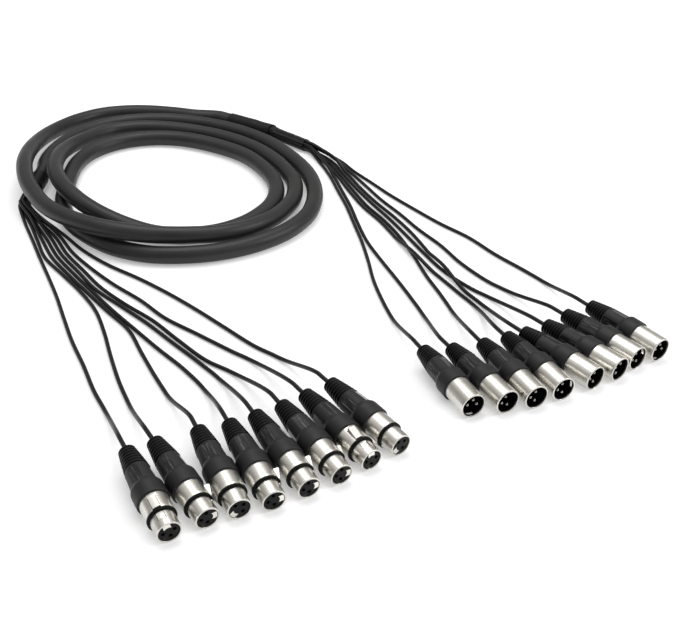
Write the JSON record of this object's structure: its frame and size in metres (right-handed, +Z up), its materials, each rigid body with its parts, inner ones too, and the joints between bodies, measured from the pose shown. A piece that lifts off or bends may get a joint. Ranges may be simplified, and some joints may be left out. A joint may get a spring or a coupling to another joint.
{
  "type": "xlr cable loom",
  "caption": "Multicore audio cable lying in a loose coil, fanned at both ends into thin tails with XLR socket plugs and XLR pin plugs.",
  "frame": {"origin": "on the bench, under the middle of the box round the plugs and the sleeves", "axes": "+Z up from the bench; -Y towards the near side, where the plugs point; +X from the socket plugs to the pin plugs"},
  "size_m": [0.5593, 0.6942, 0.0324],
  "materials": {
    "black_plastic": "moulded black, satin",
    "satin_nickel": "satin nickel plate",
    "cable_jacket": "matte dark grey jacket",
    "shrink_sleeve": "matte black shrink tube"
  },
  "bodies": {
    "loom": {"socket_1_boot_and_insert": "black_plastic", "socket_1_shell": "satin_nickel", "socket_2_boot_and_insert": "black_plastic", "socket_2_shell": "satin_nickel", "socket_3_boot_and_insert": "black_plastic", "socket_3_shell": "satin_nickel", "socket_4_boot_and_insert": "black_plastic", "socket_4_shell": "satin_nickel", "socket_5_boot_and_insert": "black_plastic", "socket_5_shell": "satin_nickel", "socket_6_boot_and_insert": "black_plastic", "socket_6_shell": "satin_nickel", "socket_7_boot_and_insert": "black_plastic", "socket_7_shell": "satin_nickel", "socket_8_boot_and_insert": "black_plastic", "socket_8_shell": "satin_nickel", "pin_1_boot_and_insert": "black_plastic", "pin_1_shell": "satin_nickel", "pin_2_boot_and_insert": "black_plastic", "pin_2_shell": "satin_nickel", "pin_3_boot_and_insert": "black_plastic", "pin_3_shell": "satin_nickel", "pin_4_boot_and_insert": "black_plastic", "pin_4_shell": "satin_nickel", "pin_5_boot_and_insert": "black_plastic", "pin_5_shell": "satin_nickel", "pin_6_boot_and_insert": "black_plastic", "pin_6_shell": "satin_nickel", "pin_7_boot_and_insert": "black_plastic", "pin_7_shell": "satin_nickel", "pin_8_boot_and_insert": "black_plastic", "pin_8_shell": "satin_nickel", "pin_end_jacket_sleeve": "shrink_sleeve", "pin_end_bundle_sleeve": "shrink_sleeve", "socket_end_sleeve": "shrink_sleeve", "socket_1_tail": "cable_jacket", "socket_2_tail": "cable_jacket", "socket_3_tail": "cable_jacket", "socket_4_tail": "cable_jacket", "socket_5_tail": "cable_jacket", "socket_6_tail": "cable_jacket", "socket_7_tail": "cable_jacket", "socket_8_tail": "cable_jacket", "pin_1_tail": "cable_jacket", "pin_2_tail": "cable_jacket", "pin_3_tail": "cable_jacket", "pin_4_tail": "cable_jacket", "pin_5_tail": "cable_jacket", "pin_6_tail": "cable_jacket", "pin_7_tail": "cable_jacket", "pin_8_tail": "cable_jacket", "multicore_coil": "cable_jacket"},
    "latch_1": {"socket_1_release_latch": "satin_nickel"},
    "latch_2": {"socket_2_release_latch": "satin_nickel"},
    "latch_3": {"socket_3_release_latch": "satin_nickel"},
    "latch_4": {"socket_4_release_latch": "satin_nickel"},
    "latch_5": {"socket_5_release_latch": "satin_nickel"},
    "latch_6": {"socket_6_release_latch": "satin_nickel"},
    "latch_7": {"socket_7_release_latch": "satin_nickel"},
    "latch_8": {"socket_8_release_latch": "satin_nickel"}
  },
  "joints": [
    {"name": "latch_1_press", "type": "hinge", "parent": "loom", "child": "latch_1", "pos_m": [-0.07358, -0.32882, 0.01396], "axis": [-0.8681, -0.4244, -0.2575], "range_deg": [0, 3], "stiffness_Nm_per_rad": 0.1, "springref_deg": -2.86},
    {"name": "latch_2_press", "type": "hinge", "parent": "loom", "child": "latch_2", "pos_m": [-0.04614, -0.31234, 0.00881], "axis": [-0.0361, -0.1401, 0.9895], "range_deg": [0, 3], "stiffness_Nm_per_rad": 0.1, "springref_deg": -2.86},
    {"name": "latch_3_press", "type": "hinge", "parent": "loom", "child": "latch_3", "pos_m": [-0.03695, -0.30874, 0.00443], "axis": [0.5373, 0.3368, -0.7732], "range_deg": [0, 3], "stiffness_Nm_per_rad": 0.1, "springref_deg": -2.86},
    {"name": "latch_4_press", "type": "hinge", "parent": "loom", "child": "latch_4", "pos_m": [-0.00662, -0.29698, 0.00881], "axis": [-0.0508, -0.1355, 0.9895], "range_deg": [0, 3], "stiffness_Nm_per_rad": 0.1, "springref_deg": -2.86},
    {"name": "latch_5_press", "type": "hinge", "parent": "loom", "child": "latch_5", "pos_m": [0.01428, -0.28455, 0.00881], "axis": [-0.0412, -0.1387, 0.9895], "range_deg": [0, 3], "stiffness_Nm_per_rad": 0.1, "springref_deg": -2.86},
    {"name": "latch_6_press", "type": "hinge", "parent": "loom", "child": "latch_6", "pos_m": [0.03417, -0.27147, 0.00788], "axis": [0.098, -0.0568, 0.9936], "range_deg": [0, 3], "stiffness_Nm_per_rad": 0.1, "springref_deg": -2.86},
    {"name": "latch_7_press", "type": "hinge", "parent": "loom", "child": "latch_7", "pos_m": [0.04809, -0.26064, 0.01413], "axis": [-0.8128, -0.5732, -0.104], "range_deg": [0, 3], "stiffness_Nm_per_rad": 0.1, "springref_deg": -2.86},
    {"name": "latch_8_press", "type": "hinge", "parent": "loom", "child": "latch_8", "pos_m": [0.06351, -0.24748, 0.00494], "axis": [0.3772, 0.4018, -0.8344], "range_deg": [0, 3], "stiffness_Nm_per_rad": 0.1, "springref_deg": -2.86}
  ]
}
